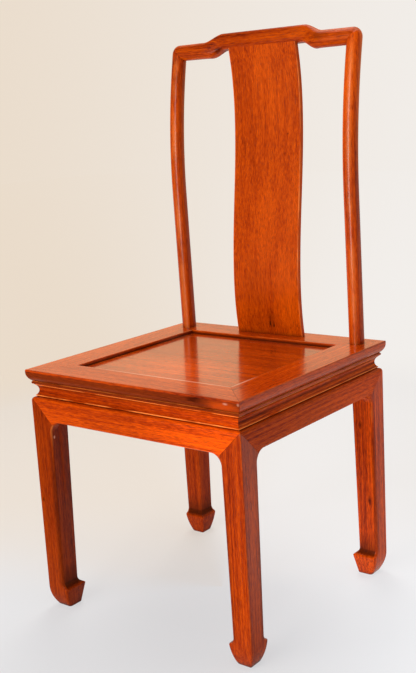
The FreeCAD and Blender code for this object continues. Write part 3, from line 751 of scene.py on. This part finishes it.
def noise(tree, vector, detail=2.0, roughness=0.55, output="Fac"):
    inputs = {"Vector": vector, "Scale": 1.0, "Detail": detail, "Roughness": roughness}
    return add(tree, "ShaderNodeTexNoise", inputs).outputs[output]


GRAIN_ORDER = {"X": (1, 2, 0), "Y": (0, 2, 1), "Z": (0, 1, 2)}
# Colours of the wood from its dark lines to its light ones, of its pores, of painted shade in recesses,
# of wear with painted highlights, and of dirt with painted shade.
PORE_COLOR, RECESS_SHADE_COLOR = (0.085, 0.007, 0.0008, 1.0), (0.05, 0.005, 0.001, 1.0)
RUBBED_AND_LIT_COLOR, DIRT_AND_SHADE_COLOR = (0.95, 0.25, 0.045, 1.0), (0.05, 0.010, 0.003, 1.0)
WOOD = [
    (0.20, (0.17, 0.011, 0.0003)),
    (0.40, (0.37, 0.030, 0.0004)),
    (0.54, (0.51, 0.050, 0.0005)),
    (0.78, (0.70, 0.082, 0.0010)),
]


def rosewood(name, axis, seed, marks=(), tone=0.88, streak=0.9, cloud=0.5, rough=0.17, coat=0.08,
             gloss=0.4, bump=0.09, open_pores=1.0, amber=1.0):
    """Lacquered rosewood with its grain along an axis. Seed moves the figure, tone lightens the wood and
    amber makes it yellower. Streak and cloud are the strength of its lines and of its patches; marks are
    knots, stains, nicks, and zones of painted light, painted shade and painted glints."""
    material = bpy.data.materials.new(name)
    tree = new_tree(material)
    coords = add(tree, "ShaderNodeTexCoord").outputs["Object"]

    def along_grain(place):
        xyz = add(tree, "ShaderNodeSeparateXYZ", {0: place}).outputs
        order = {i: xyz[k] for i, k in enumerate(GRAIN_ORDER[axis])}
        return add(tree, "ShaderNodeCombineXYZ", order).outputs[0]

    board = vector_calc(tree, "ADD", along_grain(coords), (seed * 1.37, seed * 0.91, seed * 2.3))

    def scaled(across, along, source=board):
        return vector_calc(tree, "MULTIPLY", source, (across, across, along))

    def centered(source, weight):
        return calc(tree, "MULTIPLY", calc(tree, "SUBTRACT", source, 0.5), weight)

    sway = noise(tree, scaled(7.0, 2.0), 2.0, output="Color")
    sway = vector_calc(tree, "SUBTRACT", sway, (0.5, 0.5, 0.5))
    bent = vector_calc(tree, "ADD", board, vector_calc(tree, "MULTIPLY", sway, (0.012, 0.012, 0.0)))
    tatter = centered(noise(tree, scaled(300.0, 120.0), 2.0), 0.9)
    spots = []
    for center, across, along, shade, strength, bend in marks:
        offset = along_grain(vector_calc(tree, "SUBTRACT", coords, center))
        size = vector_calc(tree, "MULTIPLY", offset, (1 / across, 1 / across, 1 / along))
        reach = vector_calc(tree, "LENGTH", size, (0, 0, 0), "Value")
        blend, tint, ragged = shade
        torn = calc(tree, "ADD", reach, calc(tree, "MULTIPLY", tatter, ragged))
        spot = remap(tree, torn, 1.0, 0.35 * ragged, smooth=True)
        spots.append((calc(tree, "MULTIPLY", spot, strength), tint, blend))
        if bend:
            around = remap(tree, reach, 4.0, 0.5, 0.0, -bend, smooth=True)
            push = add(tree, "ShaderNodeVectorMath", {0: offset, "Scale": around}, operation="SCALE")
            bent = vector_calc(tree, "ADD", bent, vector_calc(tree, "MULTIPLY", push.outputs[0], (1, 1, 0)))

    lines = noise(tree, scaled(260.0, 2.4, bent), 4.0, 0.62)
    bands = noise(tree, scaled(75.0, 0.9, bent), 2.0, 0.5)
    patches = noise(tree, scaled(15.0, 3.2, bent), 3.0, 0.5)
    flecks = noise(tree, scaled(640.0, 75.0, bent), 2.0, 0.6)
    dashes = noise(tree, scaled(900.0, 40.0, bent), 1.0)
    value = calc(tree, "ADD", centered(lines, streak), 0.54)
    for source, weight in ((bands, 0.45 * streak), (patches, cloud), (flecks, 0.80)):
        value = calc(tree, "ADD", value, centered(source, weight))
    stops = [(place, (tone * red, tone * amber * green, tone * blue)) for place, (red, green, blue) in WOOD]
    color = ramp(tree, value, stops)
    pores = remap(tree, dashes, 0.59, 0.72, 0.0, open_pores)
    vessels = remap(tree, noise(tree, scaled(2600.0, 110.0, bent), 1.0), 0.60, 0.70, 0.0, open_pores)
    pores = calc(tree, "MAXIMUM", pores, calc(tree, "MULTIPLY", vessels, 0.8))
    color = mix(tree, calc(tree, "MULTIPLY", pores, 0.68), color, PORE_COLOR)
    # Painted shade in recesses, from ambient occlusion.
    recess_shade = add(tree, "ShaderNodeAmbientOcclusion", {"Distance": 0.010}, samples=6).outputs["AO"]
    recess_shade = remap(tree, recess_shade, 0.25, 0.85, 0.7, 0.0)
    color = mix(tree, recess_shade, color, RECESS_SHADE_COLOR)
    # The wear attribute: above zero wear and painted highlights, below zero dirt and painted shade.
    wear_and_light = add(tree, "ShaderNodeAttribute", attribute_name="wear_and_painted_light").outputs["Fac"]
    patchiness = remap(tree, noise(tree, scaled(40.0, 14.0), 3.0), 0.36, 0.62)
    light = calc(tree, "MULTIPLY", calc(tree, "MULTIPLY", wear_and_light, patchiness, clamp=True), 0.7)
    color = mix(tree, light, color, RUBBED_AND_LIT_COLOR)
    dirt_and_shade = calc(tree, "MULTIPLY", wear_and_light, -0.85, clamp=True)
    color = mix(tree, dirt_and_shade, color, DIRT_AND_SHADE_COLOR)
    for spot, tint, blend in spots:
        color = mix(tree, spot, color, (*tint, 1.0), blend)
    sheen = remap(tree, lines, 0.3, 0.7, rough + 0.04 * streak, rough - 0.03 * streak)
    sheen = calc(tree, "ADD", sheen, calc(tree, "MULTIPLY", pores, 0.10))
    shine = calc(tree, "MULTIPLY", calc(tree, "SUBTRACT", 1.0, calc(tree, "MULTIPLY", dirt_and_shade, 0.85)), gloss)
    height = calc(tree, "SUBTRACT", calc(tree, "MULTIPLY", lines, 0.35), pores)
    height = calc(tree, "ADD", height, calc(tree, "MULTIPLY", noise(tree, scaled(42.0, 26.0), 2.0), 0.8))
    relief = add(tree, "ShaderNodeBump", {"Strength": bump, "Distance": 0.0003, "Height": height})
    shader = add(tree, "ShaderNodeBsdfPrincipled", {
        "Base Color": color, "Roughness": sheen, "Normal": relief.outputs[0],
        "IOR": 1.5, "Specular IOR Level": shine,
        "Coat Weight": coat, "Coat Roughness": 0.07, "Coat IOR": 1.5})
    add(tree, "ShaderNodeOutputMaterial", {0: shader.outputs[0]})
    return material


def grain_axis(node):
    if node.startswith(("leg_", "back_post", "back_splat")):
        return "Z"
    if node.endswith(("_left", "_right")):
        return "Y"
    return "X"


POST_LOOK = dict(streak=0.9, cloud=0.9, bump=0.0, open_pores=0.6, amber=1.06)
FRAME_LOOK = dict(rough=0.16, bump=0.07)
# Tones also differ by piece as painted light and shade, such as the rear right leg, made lighter where the
# rest of the chair shades it.
LOOKS = {
    "leg_front_left": dict(tone=0.52, streak=1.0, gloss=0.15, coat=0.03),
    "leg_front_right": dict(tone=0.92, streak=1.0, gloss=0.40),
    "leg_rear_left": dict(tone=0.80, streak=1.0, gloss=0.08, coat=0.02),
    "leg_rear_right": dict(tone=1.34, streak=1.2, gloss=0.22, coat=0.05),
    "crest_rail": dict(tone=0.82, streak=1.2, cloud=0.7, rough=0.22, gloss=0.18, coat=0.02, amber=1.12),
    "back_post_left": dict(POST_LOOK, tone=0.88, gloss=0.30, coat=0.06),
    "back_post_right": dict(POST_LOOK, tone=1.04, gloss=0.40, coat=0.08),
    "back_splat": dict(tone=1.02, streak=0.5, cloud=0.5, rough=0.20, gloss=0.11, coat=0.02, amber=1.20),
    "seat_panel": dict(tone=0.86, streak=1.0, cloud=0.5, rough=0.15, coat=0.34, gloss=0.48, bump=0.05),
    "seat_frame_front": dict(FRAME_LOOK, tone=1.06, gloss=0.28),
    "seat_frame_left": dict(FRAME_LOOK, tone=1.00, gloss=0.27),
    "seat_frame_right": dict(FRAME_LOOK, tone=1.08, gloss=0.32),
    "seat_frame_back": dict(FRAME_LOOK, tone=0.95, gloss=0.28),
    "apron_front": dict(tone=0.94, gloss=0.18, coat=0.04),
    "apron_right": dict(tone=0.80, streak=1.1, gloss=0.08, coat=0.02),
    "waist_front": dict(tone=0.84, streak=0.8, gloss=0.08, coat=0.02),
    "waist_right": dict(tone=1.05, streak=1.7, gloss=0.06, coat=0.02),
}
# Kinds of mark: how it is laid on, its colour, and how ragged it is.
KNOT = ("MIX", (0.022, 0.005, 0.001), 1.0)
BARE = ("MIX", (0.80, 0.42, 0.28), 1.0)
# A painted glint.
GLINT = ("MIX", (0.85, 0.46, 0.32), 0.3)
# Wear with painted light: the wood's own colour laid back over painted shade.
WORN_AND_LIT = ("MIX", (0.56, 0.060, 0.002), 0.5)
# Darker, for stains and for painted shade.
STAIN_AND_SHADE = ("MULTIPLY", (0.25, 0.18, 0.15), 0.8)
# Painted light.
PAINTED_LIGHT = ("MULTIPLY", (1.75, 1.75, 1.6), 0.0)
# Marks: knots, stains and nicks in the wood, and painted light, shade and glints on it. Each has a place
# and sizes across and along the grain in metres, kind, strength, and how far the grain bends round.
MARKS = {
    "back_splat": [
        ((0.008, 0.195, 0.490), 0.012, 0.034, STAIN_AND_SHADE, 0.45, 0),
        ((0.0048, 0.1945, 0.4826), 0.0024, 0.0065, KNOT, 0.95, 0.5),
        ((0.0130, 0.1951, 0.4781), 0.0024, 0.0055, KNOT, 0.95, 0.5),
        ((0.0483, 0.2185, 0.8483), 0.0018, 0.0022, KNOT, 0.8, 0),
        ((-0.030, 0.200, 0.520), 0.045, 0.12, STAIN_AND_SHADE, 0.22, 0),
    ],
    "leg_rear_right": [
        # Painted shade at the top of the leg, under the waist.
        ((0.245, 0.205, 0.385), 0.036, 0.060, STAIN_AND_SHADE, 0.25, 0),
        ((0.2077, 0.1856, 0.3033), 0.006, 0.012, STAIN_AND_SHADE, 0.6, 0),
        ((0.2077, 0.1856, 0.3033), 0.0024, 0.0048, KNOT, 0.4, 0.6),
        ((0.2227, 0.1879, 0.1541), 0.007, 0.014, STAIN_AND_SHADE, 0.7, 0),
        ((0.2227, 0.1879, 0.1541), 0.0030, 0.0055, KNOT, 0.5, 0.6),
    ],
    "leg_front_left": [
        ((-0.2270, -0.2280, 0.2126), 0.0022, 0.0060, KNOT, 0.85, 0.5),
        ((-0.1921, -0.2197, 0.3362), 0.0022, 0.0040, BARE, 0.8, 0),
    ],
    "seat_frame_front": [
        ((0.148, -0.233, 0.4535), 0.008, 0.020, STAIN_AND_SHADE, 0.75, 0.5),
        # Worn wood near the right corner, with the ovolo's painted shade taken off as painted light.
        ((0.206, -0.2300, 0.4470), 0.0140, 0.050, WORN_AND_LIT, 0.85, 0),
        # Painted glints at the right corner.
        ((0.212, -0.2325, 0.4530), 0.0030, 0.007, GLINT, 0.40, 0),
        ((0.237, -0.2320, 0.4545), 0.0035, 0.004, GLINT, 0.40, 0),
        # A painted highlight along the inner edge by the panel.
        ((0.040, -0.1675, 0.4600), 0.0050, 0.260, GLINT, 0.7, 0),
    ],
    # A painted highlight along the inner edge by the panel.
    "seat_frame_right": [((0.1745, -0.135, 0.4600), 0.0050, 0.050, GLINT, 0.7, 0)],
    # Painted light towards the back of the right apron, which also stands for lighter wood.
    "apron_right": [((0.235, 0.190, 0.385), 0.10, 0.25, PAINTED_LIGHT, 0.5, 0)],
    # Painted shade at the top of the leg's right face, under the waist.
    "leg_front_right": [((0.245, -0.198, 0.385), 0.036, 0.090, STAIN_AND_SHADE, 0.35, 0)],
    # Painted light towards the right ends of the front apron and waist, which also stands for lighter wood.
    "apron_front": [((0.185, -0.228, 0.385), 0.10, 0.22, PAINTED_LIGHT, 0.9, 0)],
    "waist_front": [((0.200, -0.220, 0.420), 0.10, 0.26, PAINTED_LIGHT, 0.7, 0)],
    "crest_rail": [
        ((0.1328, 0.2017, 1.0207), 0.012, 0.026, STAIN_AND_SHADE, 0.45, 0.3),
        ((-0.1000, 0.2090, 1.0115), 0.0075, 0.014, STAIN_AND_SHADE, 0.8, 0),
    ],
    "seat_panel": [
        ((-0.0308, 0.052, 0.453), 0.004, 0.020, STAIN_AND_SHADE, 0.5, 0),
        # Painted light over the front of the panel, which also stands for lighter wood.
        ((0.015, -0.105, 0.453), 0.150, 0.190, PAINTED_LIGHT, 0.8, 0),
    ],
}

shown = {piece.name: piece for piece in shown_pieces()}
for number, node in enumerate(sorted(nodes)):
    look = LOOKS.get(node, {})
    material = rosewood("wood_" + node, grain_axis(node), 1.0 + 0.37 * number, MARKS.get(node, ()), **look)
    piece = shown.get(node + "_finish")
    if piece:
        piece.data.materials.clear()
        piece.data.materials.append(material)
    else:
        for slot in nodes[node].material_slots:
            slot.material = material

# Camera: its angles, its place in metres, and its focal length and shift in pixels of the picture
AZ, EL, ROLL = math.radians(37.53), math.radians(12.0), math.radians(-3.10)
CAMERA_PLACE = (1.1501, -1.4410, 0.8857)
FOCAL_PIXELS, SHIFT_PIXELS, PICTURE_PIXELS, SENSOR_WIDTH = 1028.87, (-18.42, -0.75), 673.0, 36.0
toward = Vector((math.sin(AZ) * math.cos(EL), -math.cos(AZ) * math.cos(EL), math.sin(EL)))
right = Vector((math.cos(AZ), math.sin(AZ), 0))
up = toward.cross(right)
right, up = right * math.cos(ROLL) + up * math.sin(ROLL), up * math.cos(ROLL) - right * math.sin(ROLL)
camera = bpy.data.objects.new("camera", bpy.data.cameras.new("camera"))
scene.collection.objects.link(camera)
camera.matrix_world = Matrix((
    (right.x, up.x, toward.x, CAMERA_PLACE[0]),
    (right.y, up.y, toward.y, CAMERA_PLACE[1]),
    (right.z, up.z, toward.z, CAMERA_PLACE[2]),
    (0, 0, 0, 1),
))
camera.data.sensor_width = SENSOR_WIDTH
camera.data.lens = FOCAL_PIXELS * SENSOR_WIDTH / PICTURE_PIXELS
camera.data.shift_x = SHIFT_PIXELS[0] / PICTURE_PIXELS
camera.data.shift_y = SHIFT_PIXELS[1] / PICTURE_PIXELS
camera.data.clip_end = 100.0
scene.camera = camera


def area_light(name, place, target, size, power, color, glint=True):
    """A soft lamp; without glint it lights the wood but isn't mirrored in the gloss."""
    data = bpy.data.lights.new(name, "AREA")
    data.shape = "RECTANGLE"
    data.size, data.size_y = size
    data.energy = power
    data.color = color
    lamp = bpy.data.objects.new(name, data)
    scene.collection.objects.link(lamp)
    lamp.visible_glossy = glint
    lamp.location = place
    lamp.rotation_euler = (Vector(place) - Vector(target)).to_track_quat("Z", "Y").to_euler()


area_light("key", (-0.8, -2.3, 1.0), (0, 0, 0.5), (1.5, 1.8), 30, (1.0, 0.95, 0.90), glint=False)
area_light("front", (0.15, -2.3, 0.95), (0, 0, 0.6), (0.75, 1.7), 21, (1.0, 0.96, 0.92))
area_light("side", (2.6, 0.4, 1.2), (0, 0, 0.5), (1.4, 1.6), 9, (0.96, 0.97, 1.0), glint=False)
area_light("top", (0.0, 0.3, 2.7), (0, 0, 0.4), (2.0, 2.0), 24, (1.0, 0.98, 0.96))
area_light("back", (-0.95, 1.25, 2.5), (0, 0, 0.45), (1.2, 1.2), 33, (1.0, 0.95, 0.89), glint=False)

# The backdrop: warm towards the left of the view, neutral towards its right and in front
BACKDROP_LEFT, BACKDROP_RIGHT = (0.82, 0.71, 0.59), (0.89, 0.86, 0.83)
BACKDROP_FRONT = (0.84, 0.84, 0.84)
# The floor: its own colour, what the camera sees of it at the left and right, and how much of that is glow
FLOOR, FLOOR_LIFT = (0.82, 0.83, 0.85), 0.72
# The camera sees the floor darker at the left and brighter at the right: painted shade and light on the
# floor.
FLOOR_LEFT, FLOOR_RIGHT = (0.755, 0.755, 0.765), (0.94, 0.95, 0.97)
# What gloss shows: warm and bright surroundings behind the chair, and dark ones on the camera's side
GLOSS_WARM, GLOSS_FLOOR, DARK_ROOM = (1.0, 0.67, 0.39), (0.60, 0.54, 0.49), (0.015, 0.012, 0.010)
BRIGHT_SIDE = Vector((-0.17, 0.985, 0))
BEHIND = Vector((-math.sin(AZ), math.cos(AZ), 0))
ACROSS = Vector((math.cos(AZ), math.sin(AZ), 0))


def backdrop_color(tree, outwards):
    """The backdrop's colour in a direction."""
    across = vector_calc(tree, "DOT_PRODUCT", outwards, ACROSS, "Value")
    behind = vector_calc(tree, "DOT_PRODUCT", outwards, BEHIND, "Value")
    to_right = remap(tree, across, -0.3, 0.3, smooth=True)
    color = mix(tree, to_right, (*BACKDROP_LEFT, 1), (*BACKDROP_RIGHT, 1))
    to_front = remap(tree, behind, 0.6, -0.2, smooth=True)
    return mix(tree, to_front, color, (*BACKDROP_FRONT, 1))


# Floor
FLOOR_HALF = 12
floor_corners = [(x * FLOOR_HALF, y * FLOOR_HALF, 0) for x, y in ((-1, -1), (1, -1), (1, 1), (-1, 1))]
floor_mesh = bpy.data.meshes.new("floor")
floor_mesh.from_pydata(floor_corners, [], [(0, 1, 2, 3)])
floor = bpy.data.objects.new("floor", floor_mesh)
scene.collection.objects.link(floor)
floor_material = bpy.data.materials.new("floor_pale")
tree = new_tree(floor_material)
coords = add(tree, "ShaderNodeTexCoord").outputs["Object"]
distance = vector_calc(tree, "LENGTH", coords, (0, 0, 0), "Value")
path = add(tree, "ShaderNodeLightPath").outputs
lifted = calc(tree, "MULTIPLY", path["Is Camera Ray"], FLOOR_LIFT)
glowing = calc(tree, "MAXIMUM", remap(tree, distance, 0.6, 2.0, smooth=True), lifted)
diffuse = add(tree, "ShaderNodeBsdfDiffuse", {0: (*FLOOR, 1)}).outputs[0]
behind = vector_calc(tree, "DOT_PRODUCT", coords, BEHIND, "Value")
outwards = vector_calc(tree, "NORMALIZE", coords, (0, 0, 0))
beyond = remap(tree, behind, -0.3, 0.6, smooth=True)
far = calc(tree, "MAXIMUM", beyond, remap(tree, distance, 1.2, 4.0, smooth=True))
across = vector_calc(tree, "DOT_PRODUCT", coords, ACROSS, "Value")
near = mix(tree, remap(tree, across, -0.1, 0.4, smooth=True), (*FLOOR_LEFT, 1), (*FLOOR_RIGHT, 1))
glow = mix(tree, far, near, backdrop_color(tree, outwards))
glow = add(tree, "ShaderNodeEmission", {0: glow, 1: 1.0}).outputs[0]
pale = add(tree, "ShaderNodeMixShader", {0: glowing, 1: diffuse, 2: glow}).outputs[0]
bright = vector_calc(tree, "DOT_PRODUCT", coords, BRIGHT_SIDE, "Value")
dim = mix(tree, remap(tree, bright, -0.45, 0.1, smooth=True), (*DARK_ROOM, 1), (*GLOSS_FLOOR, 1))
dim = add(tree, "ShaderNodeEmission", {0: dim, 1: 1.0}).outputs[0]
seen = add(tree, "ShaderNodeMixShader", {0: path["Is Glossy Ray"], 1: pale, 2: dim}).outputs[0]
add(tree, "ShaderNodeOutputMaterial", {0: seen})
floor_mesh.materials.append(floor_material)

# World: the backdrop for the camera and for gloss, and a soft even light
AMBIENT, AMBIENT_STRENGTH = (0.95, 0.96, 1.0), 0.26
world = bpy.data.worlds.new("studio")
scene.world = world
tree = new_tree(world)
path = add(tree, "ShaderNodeLightPath").outputs
around = add(tree, "ShaderNodeTexCoord").outputs["Generated"]
plain = backdrop_color(tree, around)
bright = vector_calc(tree, "DOT_PRODUCT", around, BRIGHT_SIDE, "Value")
dim = mix(tree, remap(tree, bright, 0.0, 0.4, smooth=True), (*DARK_ROOM, 1), (*GLOSS_WARM, 1))
shown_color = mix(tree, path["Is Glossy Ray"], plain, dim)
backdrop = add(tree, "ShaderNodeBackground", {0: shown_color, 1: 1.0}).outputs[0]
ambient = add(tree, "ShaderNodeBackground", {0: (*AMBIENT, 1), 1: AMBIENT_STRENGTH}).outputs[0]
seen = calc(tree, "MAXIMUM", path["Is Camera Ray"], path["Is Glossy Ray"])
seen = calc(tree, "MAXIMUM", seen, path["Is Transmission Ray"])
both = add(tree, "ShaderNodeMixShader", {0: seen, 1: ambient, 2: backdrop}).outputs[0]
add(tree, "ShaderNodeOutputWorld", {0: both})
